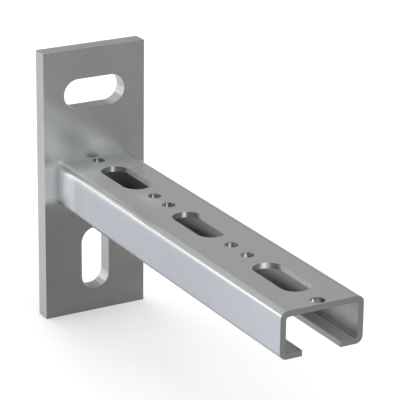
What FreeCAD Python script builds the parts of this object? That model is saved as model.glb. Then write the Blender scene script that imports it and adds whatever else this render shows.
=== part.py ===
"""A cantilever strut arm: a lipped steel channel welded square to the front of a slotted wall plate.

Millimetres. The origin is the middle of the plate's wall face, +X runs across the plate, +Z is up and
the arm reaches out from the wall along -Y. The channel lies with its back on top and its mouth below.
"""

import FreeCAD, Part
import math
import os

import Sketcher

V = FreeCAD.Vector

# Driving dimensions: alias, value, what it measures.
SIZES = [
    ("plate_width", 40.0, "wall plate, across"),
    ("plate_height", 100.5, "wall plate, up"),
    ("plate_thickness", 6.0, "wall plate, front to back"),
    ("anchor_slot_width", 11.0, "both slots of the plate, clear for a 10 mm anchor"),
    ("anchor_slot_length", 24.0, "both slots of the plate, end to end"),
    ("upper_slot_margin", 16.5, "middle of the level slot below the plate's top edge"),
    ("lower_slot_margin", 20.5, "middle of the upright slot above the plate's bottom edge"),
    ("arm_rise", 0.8, "middle of the channel above the middle of the plate"),
    ("arm_length", 152.0, "channel, from the plate's front to the free end"),
    ("channel_width", 30.0, "channel, over both sides"),
    ("channel_height", 16.0, "channel, from the lips to the back"),
    ("channel_wall", 2.0, "strip that the channel is rolled from"),
    ("lip_length", 8.0, "lip, from the outside of the channel to its tip"),
    ("outer_bend_radius", 2.5, "outside of each rolled bend"),
    ("inner_bend_radius", 1.0, "inside of each rolled bend"),
    ("punch_pitch", 52.0, "from one punched group of the back to the next"),
    ("back_slot_width", 10.4, "long slots of the back"),
    ("back_slot_length", 25.8, "long slots of the back, end to end"),
    ("pair_spacing", 10.0, "between the two round holes where two groups meet"),
    ("back_hole_diameter", 4.6, "round holes of the back"),
    ("end_margin", 3.0, "least distance from the middle of a round hole to an end of the arm"),
]

# Values that follow from the driving dimensions: alias, formula.
DERIVED = [
    ("hole_offset", "=(punch_pitch - pair_spacing) / 2"),
    ("group_count", "=floor((arm_length + pair_spacing - 2 * end_margin) / punch_pitch + 0.001)"),
    ("first_group", "=(arm_length - (group_count - 1) * punch_pitch) / 2"),
]


def add_sizes(doc):
    """Write the sizes into a spreadsheet, one alias a row."""
    sheet = doc.addObject("Spreadsheet::Sheet", "Sizes")
    for row, (alias, value, meaning) in enumerate(SIZES, start=1):
        sheet.set(f"A{row}", meaning)
        sheet.set(f"B{row}", str(value))
        sheet.setAlias(f"B{row}", alias)
    for row, (alias, formula) in enumerate(DERIVED, start=len(SIZES) + 1):
        sheet.set(f"B{row}", formula)
        sheet.setAlias(f"B{row}", alias)
    doc.recompute()


def add_body(doc, label):
    """Add an empty body that stands in the part's own frame."""
    body = doc.addObject("PartDesign::Body", label)
    body.Placement = FreeCAD.Placement()
    return body


def origin_item(body, role):
    """Find one of the body's own origin planes or axes."""
    return next(item for item in body.Origin.OriginFeatures if item.Role == role)


def add_sketch(body, name, plane, offset=None):
    """Lay an empty sketch on an origin plane of the body, lifted off it by a formula."""
    sketch = body.newObject("Sketcher::SketchObject", name)
    sketch.AttachmentSupport = [(origin_item(body, plane), "")]
    sketch.MapMode = "FlatFace"
    if offset:
        sketch.setExpression("AttachmentOffset.Base.z", offset)
    return sketch


def value_of(sketch, formula):
    """Work a formula out to a number."""
    value = sketch.evalExpression(formula)
    return float(getattr(value, "Value", value))


def constrain(sketch, kind, *geometry, formula):
    """Add a dimension that keeps following its formula."""
    constraint = Sketcher.Constraint(kind, *geometry, value_of(sketch, formula))
    index = sketch.addConstraint(constraint)
    sketch.setExpression(f"Constraints[{index}]", formula)


def fix_centre(sketch, circle, x, y):
    """Hold the middle of a circle or arc at two formulas."""
    constrain(sketch, "DistanceX", circle, 3, formula=x)
    constrain(sketch, "DistanceY", circle, 3, formula=y)


def add_outline(sketch, corners):
    """Draw a closed outline of level and upright lines through corners of (x, y, radius) formulas.

    A corner with a radius is an arc tangent to its two lines, and a corner with None is sharp.
    """
    points = [V(value_of(sketch, x), value_of(sketch, y), 0) for x, y, _ in corners]
    radii = [value_of(sketch, radius) if radius else 0.0 for _, _, radius in corners]
    followers = [(i + 1) % len(corners) for i in range(len(corners))]
    runs = [(points[after] - points[i]).normalize() for i, after in enumerate(followers)]

    lines = []
    for i, after in enumerate(followers):
        start = points[i] + runs[i] * radii[i]
        end = points[after] - runs[i] * radii[after]
        line = sketch.addGeometry(Part.LineSegment(start, end), False)
        x, y, _ = corners[i]
        if y == corners[after][1]:
            sketch.addConstraint(Sketcher.Constraint("Horizontal", line))
            constrain(sketch, "DistanceY", line, 1, formula=y)
        else:
            sketch.addConstraint(Sketcher.Constraint("Vertical", line))
            constrain(sketch, "DistanceX", line, 1, formula=x)
        lines.append(line)

    for i, (_, _, radius) in enumerate(corners):
        if radius:
            round_corner(sketch, lines[i - 1], lines[i], points[i], runs[i - 1], runs[i], radii[i], radius)
        else:
            sketch.addConstraint(Sketcher.Constraint("Coincident", lines[i - 1], 2, lines[i], 1))


def round_corner(sketch, line_in, line_out, corner, run_in, run_out, size, radius):
    """Join two lines that stop short of their corner with a tangent arc."""
    middle = corner + (run_out - run_in) * size
    arc_ends = [corner - run_in * size, corner + run_out * size]
    turns_left = run_in.cross(run_out).z > 0
    if not turns_left:
        arc_ends.reverse()
    angles = [math.atan2(end.y - middle.y, end.x - middle.x) for end in arc_ends]
    arc = sketch.addGeometry(Part.ArcOfCircle(Part.Circle(middle, V(0, 0, 1), size), *angles), False)
    near, far = (1, 2) if turns_left else (2, 1)
    sketch.addConstraint(Sketcher.Constraint("Tangent", line_in, 2, arc, near))
    sketch.addConstraint(Sketcher.Constraint("Tangent", arc, far, line_out, 1))
    constrain(sketch, "Radius", arc, formula=radius)


def add_slot(sketch, ends, width):
    """Draw a round-ended slot from the formulas of its two end middles and its width."""
    centres = [V(value_of(sketch, x), value_of(sketch, y), 0) for x, y in ends]
    radius = value_of(sketch, width) / 2
    along = (centres[0] - centres[1]).normalize()
    side = V(-along.y, along.x, 0) * radius
    facing = math.atan2(along.y, along.x)

    arcs = []
    for centre, turn in zip(centres, (facing, facing + math.pi)):
        circle = Part.Circle(centre, V(0, 0, 1), radius)
        half_circle = Part.ArcOfCircle(circle, turn - math.pi / 2, turn + math.pi / 2)
        arcs.append(sketch.addGeometry(half_circle, False))
    walls = [
        sketch.addGeometry(Part.LineSegment(centres[0] + side, centres[1] + side), False),
        sketch.addGeometry(Part.LineSegment(centres[1] - side, centres[0] - side), False),
    ]
    for i in (0, 1):
        sketch.addConstraint(Sketcher.Constraint("Tangent", arcs[i], 2, walls[i], 1))
        sketch.addConstraint(Sketcher.Constraint("Tangent", walls[i], 2, arcs[1 - i], 1))
    sketch.addConstraint(Sketcher.Constraint("Equal", arcs[0], arcs[1]))
    constrain(sketch, "Radius", arcs[0], formula=f"{width} / 2")
    for arc, (x, y) in zip(arcs, ends):
        fix_centre(sketch, arc, x, y)


def add_hole(sketch, x, y, diameter):
    """Draw a round hole."""
    centre = V(value_of(sketch, x), value_of(sketch, y), 0)
    circle = Part.Circle(centre, V(0, 0, 1), value_of(sketch, diameter) / 2)
    hole = sketch.addGeometry(circle, False)
    constrain(sketch, "Diameter", hole, formula=diameter)
    fix_centre(sketch, hole, x, y)


def pad(body, name, sketch, length):
    """Raise a sketch along its own normal."""
    feature = body.newObject("PartDesign::Pad", name)
    feature.Profile = sketch
    feature.setExpression("Length", length)
    return feature


def punch(body, name, sketch):
    """Cut a sketch through everything that lies on the side its normal points to."""
    feature = body.newObject("PartDesign::Pocket", name)
    feature.Profile = sketch
    feature.Type = "ThroughAll"
    feature.Reversed = True
    return feature


def make_base_plate(doc):
    """The wall plate: flat bar cut square, with a level slot above the arm and an upright one below."""
    body = add_body(doc, "base_plate")
    half_width, half_height = "Sizes.plate_width / 2", "Sizes.plate_height / 2"

    blank = add_sketch(body, "PlateOutline", "XZ_Plane")
    corners = [(-1, -1), (1, -1), (1, 1), (-1, 1)]
    add_outline(blank, [(f"{x} * {half_width}", f"{z} * {half_height}", None) for x, z in corners])
    pad(body, "Plate", blank, "Sizes.plate_thickness")

    slots = add_sketch(body, "AnchorSlots", "XZ_Plane")
    reach = "(Sizes.anchor_slot_length - Sizes.anchor_slot_width) / 2"
    upper = f"{half_height} - Sizes.upper_slot_margin"
    lower = f"-{half_height} + Sizes.lower_slot_margin"
    add_slot(slots, [(reach, upper), (f"-{reach}", upper)], "Sizes.anchor_slot_width")
    add_slot(slots, [("0", f"{lower} + {reach}"), ("0", f"{lower} - {reach}")], "Sizes.anchor_slot_width")
    doc.recompute()
    punch(body, "AnchorSlotCut", slots)
    return body


def make_strut_channel(doc):
    """The arm: strip rolled to a C with inturned lips, its back punched in equal groups.

    A group is a long slot with a round hole before and after it, and the groups sit midway along the arm.
    """
    body = add_body(doc, "strut_channel")
    outer, inner = "Sizes.outer_bend_radius", "Sizes.inner_bend_radius"
    side = "Sizes.channel_width / 2"
    inner_side = f"({side} - Sizes.channel_wall)"
    tip = f"({side} - Sizes.lip_length)"
    top = "Sizes.arm_rise + Sizes.channel_height / 2"
    bottom = "Sizes.arm_rise - Sizes.channel_height / 2"
    inner_top = f"{top} - Sizes.channel_wall"
    lip_top = f"{bottom} + Sizes.channel_wall"

    section = add_sketch(body, "ChannelSection", "XZ_Plane", offset="Sizes.plate_thickness")
    right_half = [
        (tip, lip_top, None),
        (tip, bottom, None),
        (side, bottom, outer),
        (side, top, outer),
    ]
    right_half_inside = [
        (inner_side, inner_top, inner),
        (inner_side, lip_top, inner),
    ]
    left_half = [(f"-{x}", z, radius) for x, z, radius in reversed(right_half)]
    left_half_inside = [(f"-{x}", z, radius) for x, z, radius in reversed(right_half_inside)]
    add_outline(section, right_half + left_half + left_half_inside + right_half_inside)
    pad(body, "Channel", section, "Sizes.arm_length")

    group = add_sketch(body, "PunchedGroup", "XY_Plane", offset="Sizes.arm_rise")
    middle = "-Sizes.plate_thickness - Sizes.first_group"
    reach = "(Sizes.back_slot_length - Sizes.back_slot_width) / 2"
    add_slot(group, [("0", f"{middle} + {reach}"), ("0", f"{middle} - {reach}")], "Sizes.back_slot_width")
    for sign in "+-":
        add_hole(group, "0", f"{middle} {sign} Sizes.hole_offset", "Sizes.back_hole_diameter")
    doc.recompute()
    cut = punch(body, "PunchedGroupCut", group)

    row = body.newObject("PartDesign::LinearPattern", "PunchedRow")
    row.Originals = [cut]
    row.Direction = (origin_item(body, "Y_Axis"), [""])
    row.Reversed = True
    row.Mode = "Spacing"
    row.setExpression("Offset", "Sizes.punch_pitch")
    row.setExpression("Occurrences", "Sizes.group_count")
    body.Tip = row
    return body


def check(doc, bodies):
    """Stop if a feature failed, a cut removed nothing or a body isn't one sound solid."""
    for item in doc.Objects:
        if "Invalid" in item.State or "Error" in item.State:
            raise RuntimeError(f"{item.Label} failed: {item.State}")
        if item.TypeId == "Sketcher::SketchObject" and not item.FullyConstrained:
            raise RuntimeError(f"{item.Label} isn't fully constrained")
        if item.TypeId == "PartDesign::Pocket" and item.Shape.Volume > item.BaseFeature.Shape.Volume - 1:
            raise RuntimeError(f"{item.Label} removes nothing")
    for body in bodies:
        if body.Shape.isNull() or not body.Shape.isValid() or len(body.Shape.Solids) != 1:
            raise RuntimeError(f"{body.Label} isn't one sound solid")


def main():
    """Build the document, check it and write one STEP file for each piece."""
    doc = FreeCAD.newDocument("CantileverStrutArm")
    add_sizes(doc)
    bodies = [make_base_plate(doc), make_strut_channel(doc)]
    doc.recompute()
    check(doc, bodies)
    os.makedirs("parts", exist_ok=True)
    for body in bodies:
        body.Shape.exportStep(f"parts/{body.Label}.step")
        box = body.Shape.BoundBox
        print(f"{body.Label}: {body.Shape.Volume:.1f} mm3, {box.XLength:.2f} x {box.YLength:.2f} x {box.ZLength:.2f}")


main()
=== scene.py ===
"""Studio scene of a cantilever strut arm: a punched, zinc-coated steel channel on an anchor plate.

The CAD nodes give the shape. This file gives them their finishes, and adds the floor, the backdrop, the
lamps and the camera.

Sizes are written in millimetres and turned to the metres of the frame where they are used.
"""
import logging
import math
from dataclasses import dataclass, field
from enum import Enum

import bmesh
import bpy
from mathutils import Matrix, Vector

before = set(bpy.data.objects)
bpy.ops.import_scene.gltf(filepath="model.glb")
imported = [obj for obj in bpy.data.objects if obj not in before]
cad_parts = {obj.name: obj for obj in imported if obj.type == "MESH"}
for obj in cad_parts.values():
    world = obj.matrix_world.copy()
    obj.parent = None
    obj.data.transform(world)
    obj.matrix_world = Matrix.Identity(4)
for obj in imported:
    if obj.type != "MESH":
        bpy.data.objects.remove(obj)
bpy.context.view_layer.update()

PHOTO_WIDTH = 400
MM = 0.001

log = logging.getLogger("strut_arm")

Socket = bpy.types.NodeSocket
Tree = bpy.types.NodeTree
Point = tuple[float, float, float]


def linear(code: str) -> tuple[float, float, float, float]:
    """Turns an sRGB hex colour to the linear colour that the shaders take.

    Args:
        code: Six hex digits after a hash sign.

    Returns:
        Red, green, blue and an alpha of 1.
    """
    parts = [int(code[i : i + 2], 16) / 255 for i in (1, 3, 5)]
    red, green, blue = (c / 12.92 if c <= 0.04045 else ((c + 0.055) / 1.055) ** 2.4 for c in parts)
    return (red, green, blue, 1.0)


def metres(point: Point) -> Vector:
    """Gives a point in millimetres as a vector in metres."""
    return Vector(point) * MM


def per_metre(size: float) -> float:
    """Gives the texture scale at which one repeat of a pattern is as long as size, in millimetres."""
    return 1.0 / (size * MM)


def add_node(tree: Tree, kind: str, sockets: dict | None = None, **settings: object) -> bpy.types.Node:
    """Adds one node with its settings, its values and its incoming links.

    Args:
        tree: The node tree that the node goes into.
        kind: The node's type.
        sockets: Input name or number, to a value or to the output that feeds it.
        settings: The node's own options.

    Returns:
        The new node.
    """
    node = tree.nodes.new(kind)
    for name, value in settings.items():
        setattr(node, name, value)
    for key, value in (sockets or {}).items():
        if isinstance(value, Socket):
            tree.links.new(value, node.inputs[key])
        else:
            node.inputs[key].default_value = value
    return node


def new_tree(owner: bpy.types.ID) -> Tree:
    """Gives a material or a world an empty node tree."""
    owner.use_nodes = True
    owner.node_tree.nodes.clear()
    return owner.node_tree


class Grain(Enum):
    """The way in which the mill rolled the steel, as how fast its streaks change along X, Y and Z."""

    UPRIGHT = (1.0, 1.0, 0.05)
    LENGTHWISE = (1.0, 0.05, 1.0)


@dataclass(frozen=True)
class Tone:
    """The colour of one kind of zinc or steel surface, or of painted light or shade on it, and how much it
    scatters what it mirrors.
    """

    colour: str
    roughness: float


@dataclass(frozen=True)
class Zone:
    """A box-shaped part of a piece whose faces have a tone of their own: a colour of the metal, or painted
    light or shade.

    The name labels the zone's nodes. Where mirrored is set, the box is given on the right side and counts for
    the left side too. The blur is how wide the soft edge is along X, Y and Z, with its middle on the box. A
    turned box is given from its pivot, and turns about it by degrees round X, Y and Z.
    """

    name: str
    low: Point
    high: Point
    tone: Tone
    blur: Point = (0.02, 0.02, 0.02)
    mirrored: bool = False
    pivot: Point = (0.0, 0.0, 0.0)
    turn: Point = (0.0, 0.0, 0.0)

    def mask(self, tree: Tree, place: Socket) -> Socket:
        """Builds the nodes that are 1 inside the box and 0 outside it.

        Args:
            tree: The material's node tree.
            place: The object coordinates.

        Returns:
            The mask's output.
        """
        if self.mirrored:
            parts = add_node(tree, "ShaderNodeSeparateXYZ", {0: place})
            side = add_node(tree, "ShaderNodeMath", {0: parts.outputs[0]}, operation="ABSOLUTE")
            joined = add_node(
                tree, "ShaderNodeCombineXYZ", {0: side.outputs[0], 1: parts.outputs[1], 2: parts.outputs[2]}
            )
            place = joined.outputs[0]
        if any(self.turn):
            turn = tuple(math.radians(angle) for angle in self.turn)
            turned = add_node(
                tree,
                "ShaderNodeMapping",
                {0: place, "Location": metres(self.pivot), "Rotation": turn},
                vector_type="TEXTURE",
            )
            place = turned.outputs[0]
        low, high, blur = metres(self.low), metres(self.high), metres(self.blur)
        reach = (high - low + blur) / 2
        offset = add_node(
            tree, "ShaderNodeVectorMath", {0: place, 1: tuple((low + high) / 2)}, operation="SUBTRACT"
        )
        away = add_node(tree, "ShaderNodeVectorMath", {0: offset.outputs[0]}, operation="ABSOLUTE")
        depth = add_node(
            tree, "ShaderNodeVectorMath", {0: tuple(reach), 1: away.outputs[0]}, operation="SUBTRACT"
        )
        steps = add_node(
            tree, "ShaderNodeVectorMath", {0: depth.outputs[0], 1: tuple(blur)}, operation="DIVIDE"
        )
        axes = add_node(tree, "ShaderNodeSeparateXYZ", {0: steps.outputs[0]})
        value = axes.outputs[0]
        for other in (axes.outputs[1], axes.outputs[2]):
            value = add_node(tree, "ShaderNodeMath", {0: value, 1: other}, operation="MINIMUM").outputs[0]
        return add_node(tree, "ShaderNodeClamp", {0: value}).outputs[0]


@dataclass(frozen=True)
class ZincCoat:
    """Zinc-coated mild steel, as a family of tones with the marks of the mill and the zinc bath.

    The coat is a thin matt metal: it mirrors the room softly, with faint crystals a few millimetres wide,
    streaks along the way it was rolled, and cloudy patches where the zinc ran.
    """

    name: str
    face: Tone
    grain: Grain
    crystal: float
    crystal_depth: float
    streak: float
    streak_depth: float
    cloud: float
    cloud_depth: float
    ripple: float
    ripple_height: float

    def material(self, zones: list[Zone]) -> bpy.types.Material:
        """Builds the node material of this coat.

        Args:
            zones: The parts of the piece that differ from its broad faces, later ones on top.

        Returns:
            The material.
        """
        made = bpy.data.materials.new(self.name)
        tree = new_tree(made)
        place = add_node(tree, "ShaderNodeTexCoord").outputs["Object"]
        colour, roughness = self.zoned(tree, place, zones)
        change, streaks = self.marks(tree, place)
        shade = add_node(tree, "ShaderNodeVectorMath", {0: colour, "Scale": change}, operation="SCALE")
        darkest, palest = 0.9, 1.1
        dullest, smoothest = 1.08, 0.92
        dull = add_node(
            tree, "ShaderNodeMapRange", {0: change, 1: darkest, 2: palest, 3: dullest, 4: smoothest}
        )
        rough = add_node(tree, "ShaderNodeMath", {0: roughness, 1: dull.outputs[0]}, operation="MULTIPLY")
        peel = add_node(
            tree,
            "ShaderNodeTexNoise",
            {"Vector": place, "Scale": per_metre(self.ripple), "Detail": 2.0},
        )
        skin = add_node(tree, "ShaderNodeMath", {0: peel.outputs[0], 1: streaks}, operation="ADD")
        relief = add_node(
            tree,
            "ShaderNodeBump",
            {"Strength": 1.0, "Distance": self.ripple_height * MM, "Height": skin.outputs[0]},
        )
        steel = add_node(
            tree,
            "ShaderNodeBsdfPrincipled",
            {
                "Base Color": shade.outputs[0],
                "Metallic": 1.0,
                "Roughness": rough.outputs[0],
                "Normal": relief.outputs[0],
            },
        )
        add_node(tree, "ShaderNodeOutputMaterial", {0: steel.outputs[0]})
        return made

    def zoned(self, tree: Tree, place: Socket, zones: list[Zone]) -> tuple[Socket, Socket]:
        """Mixes the tones of the zones over the tone of the broad faces.

        Args:
            tree: The material's node tree.
            place: The object coordinates.
            zones: The zones, later ones on top.

        Returns:
            The colour and the roughness outputs.
        """
        colour: object = linear(self.face.colour)
        roughness: object = self.face.roughness
        for zone in zones:
            mask = zone.mask(tree, place)
            paint = add_node(
                tree,
                "ShaderNodeMix",
                {0: mask, 6: colour, 7: linear(zone.tone.colour)},
                data_type="RGBA",
                label=zone.name,
            )
            blend = add_node(
                tree, "ShaderNodeMix", {0: mask, 2: roughness, 3: zone.tone.roughness}, label=zone.name
            )
            colour, roughness = paint.outputs[2], blend.outputs[0]
        return colour, roughness

    def marks(self, tree: Tree, place: Socket) -> tuple[Socket, Socket]:
        """Builds the crystals, streaks and clouds of the coat.

        Args:
            tree: The material's node tree.
            place: The object coordinates.

        Returns:
            A factor near 1 for the colour, and the streaks alone.
        """
        drawn = add_node(tree, "ShaderNodeMapping", {0: place, "Scale": self.grain.value})
        crystals = add_node(
            tree, "ShaderNodeTexVoronoi", {"Vector": place, "Scale": per_metre(self.crystal)}
        )
        streaks = add_node(
            tree,
            "ShaderNodeTexNoise",
            {"Vector": drawn.outputs[0], "Scale": per_metre(self.streak), "Detail": 3.0},
        )
        clouds = add_node(
            tree, "ShaderNodeTexNoise", {"Vector": place, "Scale": per_metre(self.cloud), "Detail": 3.0}
        )
        crystal_shade = add_node(tree, "ShaderNodeSeparateColor", {0: crystals.outputs["Color"]})
        total: object = 1.0
        for source, depth in (
            (crystal_shade.outputs[0], self.crystal_depth),
            (streaks.outputs[0], self.streak_depth),
            (clouds.outputs[0], self.cloud_depth),
        ):
            even = add_node(tree, "ShaderNodeMath", {0: source, 1: 0.5}, operation="SUBTRACT")
            scaled = {0: even.outputs[0], 1: 2 * depth, 2: total}
            total = add_node(tree, "ShaderNodeMath", scaled, operation="MULTIPLY_ADD").outputs[0]
        return total, streaks.outputs[0]


# The real streaks and skin ripple of both coats are finer than these. They are drawn about a millimetre
# wide, as coarse as they need to be to show.

# Hot-dip galvanised flat bar: a dull mid grey that mirrors the floor as a soft, even shade.
PLATE_COAT = ZincCoat(
    name="hot_dip_galvanised_flat_bar",
    face=Tone("#7A7B78", 0.43),
    grain=Grain.UPRIGHT,
    crystal=5.0,
    crystal_depth=0.015,
    streak=1.2,
    streak_depth=0.02,
    cloud=16.0,
    cloud_depth=0.02,
    ripple=0.9,
    ripple_height=0.002,
)
# Mill-galvanised strip, roll-formed: brighter and smoother than the bar, with faint lengthwise streaks.
CHANNEL_COAT = ZincCoat(
    name="mill_galvanised_strip",
    face=Tone("#BABCBB", 0.27),
    grain=Grain.LENGTHWISE,
    crystal=3.5,
    crystal_depth=0.010,
    streak=0.8,
    streak_depth=0.02,
    cloud=22.0,
    cloud_depth=0.02,
    ripple=0.7,
    ripple_height=0.002,
)
# The plate's edges, cut by a shear: bright where the blade rubbed, with painted shade that darkens them up
# the left and on the right.
SHEARED_EDGE = Tone("#ABACAE", 0.30)
UPPER_LEFT_EDGE_SHADE = Tone("#939496", 0.30)
RIGHT_EDGE_SHADE = Tone("#8A8B8C", 0.40)
# The walls of the plate's slots, with a painted highlight on the lower right arcs and painted shade on the
# duller floors.
PLATE_SLOT_WALL = Tone("#A3A4A6", 0.30)
PLATE_SLOT_FLOOR_SHADE = Tone("#969695", 0.34)
PLATE_SLOT_ARC_HIGHLIGHT = Tone("#BABCBD", 0.30)
# Painted light and shade on the plate's front: a painted reflection of the arm, lighter in a slant above it,
# and painted shade, darker along the joint and dull below it.
ARM_REFLECTION_SLANT = Tone("#8C8F8C", 0.43)
JOINT_SHADE = Tone("#7B7E7B", 0.43)
UNDER_ARM_SHADE = Tone("#747573", 0.43)
# Painted reflection on the channel's sides: a bluish sheen, lighter towards the free end.
SIDE_SHEEN = Tone("#AAADB3", 0.27)
SIDE_END_SHEEN = Tone("#B6BAC1", 0.27)
# Painted shade on the bends: dull and dark at the lips, a shade darker on the back's right.
LIP_BEND_SHADE = Tone("#606164", 0.50)
RIGHT_BEND_SHADE = Tone("#A6A8A7", 0.27)
# Painted reflections and light beside the weld, on the plate, the channel's side, its upper left bend and its
# top.
PLATE_BAND_REFLECTION = Tone("#B9BCBB", 0.34)
SIDE_JOINT_LIGHT = Tone("#E9ECEE", 0.32)
BEND_JOINT_LIGHT = Tone("#F5F5F4", 0.28)
TOP_SLANT_REFLECTION = Tone("#D6D8D7", 0.27)
TOP_STRIP_LIGHT = Tone("#E6E8E7", 0.27)
TOP_JOINT_REFLECTION = Tone("#BDBEBC", 0.30)
# Painted shade inside the channel, lighter towards its open end, and painted light on the tops of the lips.
INSIDE_SHADE = Tone("#8E9091", 0.36)
INSIDE_END_LIGHT = Tone("#A4A6A7", 0.36)
NEAR_LIP_TOP_LIGHT = Tone("#B4B6B7", 0.40)
FAR_LIP_TOP_LIGHT = Tone("#EEEEEE", 0.50)
# The strip's slit edges, at the tips of the lips.
SLIT_EDGE = Tone("#8A8B8C", 0.30)
# The punched walls of the back: smooth arcs and torn, bright straights, with painted shade in the last hole
# and a painted glint on its wall.
PUNCHED_ARC = Tone("#D2D3D3", 0.25)
PUNCHED_STRAIGHT = Tone("#F0F0F0", 0.60)
LAST_HOLE_SHADE = Tone("#757676", 0.30)
HOLE_GLINT = Tone("#F0F0F0", 0.20)
# The end that the cut-off saw leaves: fine scratches, darker than the rolled faces.
SAWN_END = Tone("#6F7070", 0.36)

# How far a zone goes past the piece on a side where it has no end of its own.
PAST = 9.0
# How far below its own face a zone reaches, or stays clear of the next face.
SKIN = 0.05
# The soft edge of a zone that ends at a corner, too thin to show.
SHARP = 0.02


@dataclass
class BasePlate:
    """The anchor plate, with the zones that its coating and cutting leave on it, and painted reflection,
    light and shade.
    """

    node: str = "base_plate"
    width: float = 40.0
    height: float = 100.5
    thickness: float = 6.0
    slot_width: float = 11.0
    slot_run: float = 6.5
    upper_slot: float = 33.75
    lower_slot: float = -29.75
    channel_side: float = 15.0
    channel_top: float = 8.8
    coat: ZincCoat = PLATE_COAT

    def front_light_zones(self) -> list[Zone]:
        """Lists the painted reflection and painted shade on the plate's front.

        Returns:
            The zones, later ones on top.
        """
        right = self.width / 2 + PAST
        out, front = -self.thickness - PAST, -self.thickness + SKIN
        return [
            # Painted reflection of the arm in a slant above it, then painted shade along the joint and below
            # the arm.
            Zone(
                "arm_reflection_slant",
                (-38, out, -30),
                (8, front, 0),
                ARM_REFLECTION_SLANT,
                blur=(18, SHARP, 5),
                pivot=(self.channel_side - 2.5, 0, self.channel_top),
                turn=(0, 36, 0),
            ),
            Zone("joint_shade", (-self.channel_side, out, 4), (right, front, 12), JOINT_SHADE, (3, SHARP, 7)),
            Zone("under_arm_shade", (-right, out, -42), (right, front, -7), UNDER_ARM_SHADE, (1, SHARP, 8)),
        ]

    def edge_zones(self) -> list[Zone]:
        """Lists the plate's cut edges and slot walls, with painted shade on the upper left and right edges.

        Returns:
            The zones, later ones on top.
        """
        half, right, high = self.width / 2, self.width / 2 + PAST, self.height / 2 + PAST
        front, back, depth = -self.thickness + SKIN, -SKIN, 2 * SKIN
        inner, inner_top = half - depth, self.height / 2 - depth
        return [
            Zone("cut_edges", (-right, front, -high), (right, back, high), SHEARED_EDGE),
            Zone("slot_walls", (-inner, front, -inner_top), (inner, back, inner_top), PLATE_SLOT_WALL),
            *self.slot_zones(front, back),
            # Painted shade darkens the upper left edge and the right edge.
            Zone(
                "upper_left_edge_shade",
                (-right, front, 30),
                (-inner, back, 2 * high),
                UPPER_LEFT_EDGE_SHADE,
                (SHARP, SHARP, 60),
            ),
            Zone("right_edge_shade", (inner, front, -high), (right, back, high), RIGHT_EDGE_SHADE),
        ]

    def slot_zones(self, front: float, back: float) -> list[Zone]:
        """Lists the painted shade on the floors and the painted highlight on the lower right arcs of the two
        slots.

        Args:
            front: Where the walls start, along Y.
            back: Where they end.

        Returns:
            The zones, later ones on top.
        """
        floor = self.upper_slot - self.slot_width / 2
        arc = self.lower_slot - self.slot_run
        below = arc - self.slot_width
        return [
            # Painted shade on the slot floors, then a painted highlight on the lower right arcs.
            Zone(
                "upper_slot_floor_shade",
                (-14, front, floor - 0.75),
                (3, back, floor + 0.45),
                PLATE_SLOT_FLOOR_SHADE,
                (8, SHARP, 0.4),
            ),
            Zone(
                "lower_slot_floor_shade",
                (-4, front, below),
                (2.6, back, arc - 0.15),
                PLATE_SLOT_FLOOR_SHADE,
                (2, SHARP, 0.6),
            ),
            Zone(
                "upper_slot_arc_highlight",
                (self.slot_run - 0.1, front, floor - 0.25),
                (self.slot_run + self.slot_width, back, self.upper_slot - 0.75),
                PLATE_SLOT_ARC_HIGHLIGHT,
                (2, SHARP, 2),
            ),
            Zone(
                "lower_slot_arc_highlight",
                (2.6, front, below),
                (7, back, arc - 0.55),
                PLATE_SLOT_ARC_HIGHLIGHT,
                (0.6, SHARP, 1.2),
            ),
        ]

    def zones(self) -> list[Zone]:
        """Lists all the zones of the plate, with the painted reflection band left of the arm.

        Returns:
            The zones, later ones on top.
        """
        # Painted reflection on the plate, left of the arm.
        band_reflection = Zone(
            "plate_band_reflection",
            (-self.width / 2 - PAST, -self.thickness - PAST, -5),
            (-self.channel_side + 1, -self.thickness + SKIN, 9),
            PLATE_BAND_REFLECTION,
            blur=(3, SHARP, 3),
        )
        return [*self.front_light_zones(), *self.edge_zones(), band_reflection]

    def dress(self, nodes: dict) -> None:
        """Puts the plate's finish on its CAD node."""
        nodes[self.node].material_slots[0].material = self.coat.material(self.zones())
        log.info("%s: %s", self.node, self.coat.name)


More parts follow.
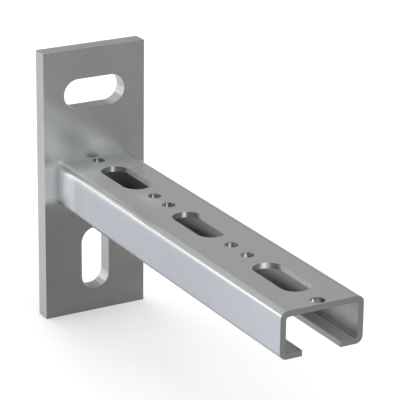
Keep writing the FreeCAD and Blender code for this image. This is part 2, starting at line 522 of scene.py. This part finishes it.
@dataclass
class StrutChannel:
    """The roll-formed lipped channel, with the zones that its punching and sawing leave on it, and painted
    light and shade on its sides, bends, inside and beside the weld.
    """

    node: str = "strut_channel"
    length: float = 152.0
    wall: float = 2.0
    top: float = 8.8
    bottom: float = -7.2
    half_width: float = 15.0
    weld: float = -6.0
    lip_tip: float = 7.0
    slot_half_width: float = 5.2
    slot_run: float = 7.7
    slot_middles: tuple[float, ...] = (-30.0, -82.0, -134.0)
    coat: ZincCoat = CHANNEL_COAT

    def sheen_and_shade_zones(self) -> list[Zone]:
        """Lists the painted sheen on the sides and the painted shade on the bends.

        Returns:
            The zones, later ones on top.
        """
        half, right = self.half_width, self.half_width + PAST
        end, behind = self.weld - self.length, self.weld + PAST
        low, high = self.bottom - PAST, self.top + PAST
        fade = 60.0
        return [
            # Painted sheen on the sides, lighter towards the free end.
            Zone(
                "sides",
                (half - 0.2, end, low),
                (right, self.weld, 7),
                SIDE_SHEEN,
                (0.4, 0.1, 2),
                mirrored=True,
            ),
            Zone(
                "side_end_sheen",
                (half - 0.2, end - fade, low),
                (right, -125, 7),
                SIDE_END_SHEEN,
                (0.4, fade, 2),
                mirrored=True,
            ),
            # Painted shade on the lip bends and on the back's right bend.
            Zone(
                "lip_bend_shade",
                (half - 9, end - PAST, low),
                (right, behind, -5.9),
                LIP_BEND_SHADE,
                (1, 1, 1.6),
                mirrored=True,
            ),
            Zone(
                "right_bend_shade",
                (half - 2.6, end - PAST, 8),
                (right, behind, high),
                RIGHT_BEND_SHADE,
                (1.6, 0.1, 0.4),
            ),
        ]

    def joint_light_zones(self) -> list[Zone]:
        """Lists the painted reflections and light beside the weld.

        Returns:
            The zones, later ones on top.
        """
        half, weld, left = self.half_width, self.weld, -self.half_width - PAST
        low, high, behind = self.bottom - PAST, self.top + PAST, self.weld + PAST
        return [
            # Painted reflections and light on the channel beside the weld.
            Zone("top_strip_light", (-half + 2, -53, 8), (-3, behind, high), TOP_STRIP_LIGHT, (6, 22, 0.5)),
            Zone(
                "top_slant_reflection",
                (-60, -90, self.top - 1.1),
                (-1.5, 30, high),
                TOP_SLANT_REFLECTION,
                (9, 3, 1.2),
                pivot=(20, weld, 0),
                turn=(0, 0, -30),
            ),
            Zone("top_joint_reflection", (-half + 3, weld - 10, 8), (-left, behind, high), TOP_JOINT_REFLECTION, (3, 8, 1)),
            Zone("side_joint_light", (left, weld - 11, low), (-half + 1, weld - 2, 8), SIDE_JOINT_LIGHT, (1, 8, 2)),
            Zone(
                "bend_joint_light",
                (left, weld - 32, 8.1),
                (-half + 2.2, behind, high),
                BEND_JOINT_LIGHT,
                (2.4, 20, 0.8),
            ),
        ]

    def hollow_zones(self) -> list[Zone]:
        """Lists the painted shade inside the channel, the painted light on its lip tops, and the slit edges
        of its lips.

        Returns:
            The zones, later ones on top.
        """
        weld, end, tip = self.weld, self.weld - self.length, self.lip_tip
        past_end = end - PAST
        inner = self.half_width - self.wall + SKIN
        low, high = self.bottom + self.wall, self.top - self.wall + SKIN
        return [
            # Painted shade inside, painted light towards the open end and on the lip tops.
            Zone("inside", (-inner, past_end, low - SKIN), (inner, weld, high), INSIDE_SHADE),
            Zone(
                "inside_end_light",
                (-inner, past_end, low - SKIN),
                (inner, -138, high),
                INSIDE_END_LIGHT,
                (SHARP, 16, SHARP),
            ),
            Zone(
                "near_lip_top_light",
                (-inner, past_end, low - 0.1),
                (-tip, -120, low + 0.2),
                NEAR_LIP_TOP_LIGHT,
                (0.5, 30, 0.3),
            ),
            Zone("far_lip_top_light", (tip, end, low - 0.1), (inner - 1, weld, low + SKIN), FAR_LIP_TOP_LIGHT),
            Zone(
                "slit_edges",
                (tip - 0.1, end, self.bottom - PAST),
                (tip + 0.1, weld, low),
                SLIT_EDGE,
                mirrored=True,
            ),
        ]

    def punched_zones(self) -> list[Zone]:
        """Lists the walls of the slots and holes in the back, with painted shade and a painted glint in the
        last hole.

        Returns:
            The zones, later ones on top.
        """
        end = self.weld - self.length
        first, last, hole_end = self.weld - 0.2, end + 0.2, end + 7
        side = self.slot_half_width + 0.6
        under, over = self.top - self.wall + SKIN, self.top - SKIN
        arcs = Zone("punched_arcs", (-side, last, under), (side, first, over), PUNCHED_ARC)
        # Painted shade in the last hole, and a painted glint on its wall.
        hole = Zone("last_hole", (-3, last, under), (3, hole_end, over), LAST_HOLE_SHADE)
        glint = Zone(
            "last_hole_glint", (-0.9, end + 3, under), (-0.1, hole_end, over), HOLE_GLINT, (0.3, 0.1, 0.1)
        )
        straights = [
            Zone(
                "punched_straights",
                (self.slot_half_width - 1.8, middle - 2 * self.slot_run, under),
                (side + 4, middle + self.slot_run + 1.5, over),
                PUNCHED_STRAIGHT,
                (3.2, 2, SHARP),
                mirrored=True,
            )
            for middle in self.slot_middles
        ]
        return [arcs, hole, glint, *straights]

    def zones(self) -> list[Zone]:
        """Lists all the zones of the channel, with its sawn end.

        Returns:
            The zones, later ones on top.
        """
        right, end = self.half_width + PAST, self.weld - self.length
        sawn = Zone(
            "sawn_end",
            (-right, end - PAST, self.bottom - PAST),
            (right, end + SKIN, self.top + PAST),
            SAWN_END,
        )
        return [
            *self.sheen_and_shade_zones(),
            *self.joint_light_zones(),
            *self.hollow_zones(),
            *self.punched_zones(),
            sawn,
        ]

    def dress(self, nodes: dict) -> None:
        """Puts the channel's finish on its CAD node."""
        nodes[self.node].material_slots[0].material = self.coat.material(self.zones())
        log.info("%s: %s", self.node, self.coat.name)


@dataclass(frozen=True)
class Softbox:
    """A soft lamp: a flat white panel that the camera doesn't see, and that metal may mirror or not."""

    name: str
    centre: Point
    aim: Point
    width: float
    height: float
    radiance: float
    mirrored: bool = True

    def build(self) -> None:
        """Makes the lamp and turns it to its aim."""
        data = bpy.data.lights.new(self.name, "AREA")
        data.shape = "RECTANGLE"
        data.size = self.width * MM
        data.size_y = self.height * MM
        data.energy = self.radiance * math.pi * data.size * data.size_y
        lamp = bpy.data.objects.new(self.name, data)
        lamp.location = metres(self.centre)
        lamp.rotation_euler = (metres(self.aim) - lamp.location).to_track_quat("-Z", "Y").to_euler()
        lamp.visible_camera = False
        lamp.visible_glossy = self.mirrored
        bpy.context.scene.collection.objects.link(lamp)
        log.info("lamp %s", self.name)


ARM_MIDDLE = (0.0, -50.0, 0.0)


def around(azimuth: float, elevation: float, distance: float = 1000.0) -> Point:
    """Gives a point at a distance from the arm, by its bearing.

    Args:
        azimuth: Degrees from straight behind the plate, towards the right.
        elevation: Degrees above the level.
        distance: Millimetres from the middle of the arm.

    Returns:
        The point in millimetres.
    """
    turn, rise = math.radians(azimuth), math.radians(elevation)
    level = distance * math.cos(rise)
    return (level * math.sin(turn), level * math.cos(turn) + ARM_MIDDLE[1], distance * math.sin(rise))


@dataclass
class Studio:
    """The pale floor, the backdrop and the lamps."""

    floor_level: float = -50.25
    floor_size: float = 8000.0
    floor_colour: str = "#E7E7E7"
    floor_glow: float = 0.25
    backdrop_colour: str = "#CBCBCC"
    lamps: list[Softbox] = field(
        default_factory=lambda: [
            Softbox("key", around(-44, 9), ARM_MIDDLE, 260, 320, 2.5),
            Softbox("back_high", around(-5, 37), ARM_MIDDLE, 900, 400, 0.3),
            Softbox("low_back", around(-1, 8), ARM_MIDDLE, 700, 340, 12.0, mirrored=False),
            Softbox("bend_strip", around(-31, 16), ARM_MIDDLE, 150, 190, 2.2),
            Softbox("back_right", around(83, 28), ARM_MIDDLE, 600, 400, 0.8),
            Softbox("high_left", around(-60, 50), ARM_MIDDLE, 500, 500, 1.2),
            Softbox("front_right", around(158, 23), ARM_MIDDLE, 380, 560, 5.5),
            Softbox("front_left", around(212, 12), ARM_MIDDLE, 500, 500, 0.8),
            Softbox("top", around(0, 90), ARM_MIDDLE, 650, 650, 0.83),
            Softbox("floor_left", (-260, -330, 250), (-260, -330, -50), 200, 200, 1.0),
        ]
    )

    def build(self) -> None:
        """Makes the floor, the backdrop and the lamps."""
        self.make_floor()
        self.make_backdrop()
        for lamp in self.lamps:
            lamp.build()

    def make_floor(self) -> None:
        """Makes the floor of matt white paper, which glows a little so that it reads as white."""
        shape = bmesh.new()
        lift = Matrix.Translation((0.0, 0.0, self.floor_level * MM))
        bmesh.ops.create_grid(shape, x_segments=1, y_segments=1, size=self.floor_size * MM / 2, matrix=lift)
        mesh = bpy.data.meshes.new("paper_floor")
        shape.to_mesh(mesh)
        shape.free()
        floor = bpy.data.objects.new("paper_floor", mesh)
        bpy.context.scene.collection.objects.link(floor)
        mesh.materials.append(self.paper())
        log.info("floor at %.2f mm", self.floor_level)

    def paper(self) -> bpy.types.Material:
        """Builds matt white paper, whose glow is seen by the camera and in metal.

        Returns:
            The material.
        """
        made = bpy.data.materials.new("matt_white_paper")
        tree = new_tree(made)
        rays = add_node(tree, "ShaderNodeLightPath")
        seen: Socket = rays.outputs["Is Camera Ray"]
        for other in ("Is Glossy Ray", "Is Transmission Ray"):
            seen = add_node(
                tree, "ShaderNodeMath", {0: seen, 1: rays.outputs[other]}, operation="MAXIMUM"
            ).outputs[0]
        glow = add_node(tree, "ShaderNodeMath", {0: seen, 1: self.floor_glow}, operation="MULTIPLY")
        sheet = add_node(tree, "ShaderNodeBsdfDiffuse", {0: linear(self.floor_colour)})
        shine = add_node(tree, "ShaderNodeEmission", {1: glow.outputs[0]})
        both = add_node(tree, "ShaderNodeAddShader", {0: sheet.outputs[0], 1: shine.outputs[0]})
        add_node(tree, "ShaderNodeOutputMaterial", {0: both.outputs[0]})
        made.cycles.emission_sampling = "NONE"
        return made

    def make_backdrop(self) -> None:
        """Makes the plain pale backdrop that surrounds the floor."""
        world = bpy.data.worlds.new("pale_backdrop")
        tree = new_tree(world)
        sky = add_node(tree, "ShaderNodeBackground", {0: linear(self.backdrop_colour), 1: 1.0})
        add_node(tree, "ShaderNodeOutputWorld", {0: sky.outputs[0]})
        bpy.context.scene.world = world
        log.info("backdrop")


@dataclass
class PhotoCamera:
    """The camera of the photograph, from a fit of the part's edges to it.

    The nearest and farthest distances that it shows are in metres.
    """

    centre: Point = (-335.602, -666.595, 265.675)
    yaw: float = -29.8741
    pitch: float = 20.2186
    roll: float = 0.7258
    focal_pixels: float = 2177.05
    sensor: float = 36.0
    nearest: float = 0.01
    farthest: float = 50.0

    def build(self) -> None:
        """Makes the camera and gives it to the scene."""
        yaw, pitch, roll = (math.radians(a) for a in (self.yaw, self.pitch, self.roll))
        back = Vector((math.sin(yaw) * math.cos(pitch), -math.cos(yaw) * math.cos(pitch), math.sin(pitch)))
        level = Vector((0, 0, 1)).cross(back).normalized()
        rise = back.cross(level)
        right = math.cos(roll) * level + math.sin(roll) * rise
        up = -math.sin(roll) * level + math.cos(roll) * rise
        data = bpy.data.cameras.new("photo_camera")
        data.sensor_width = self.sensor
        data.lens = self.sensor * self.focal_pixels / PHOTO_WIDTH
        data.clip_start = self.nearest
        data.clip_end = self.farthest
        camera = bpy.data.objects.new("photo_camera", data)
        turn = Matrix((right, up, back)).transposed().to_4x4()
        camera.matrix_world = Matrix.Translation(metres(self.centre)) @ turn
        bpy.context.scene.collection.objects.link(camera)
        bpy.context.scene.camera = camera
        log.info("camera, %.1f mm lens", data.lens)


def main() -> None:
    """Builds the scene in order."""
    logging.basicConfig(level=logging.INFO, format="%(name)s: %(message)s")
    bpy.context.scene.view_settings.view_transform = "Standard"
    for piece in (BasePlate(), StrutChannel()):
        piece.dress(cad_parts)
    Studio().build()
    PhotoCamera().build()


if __name__ == "__main__":
    main()
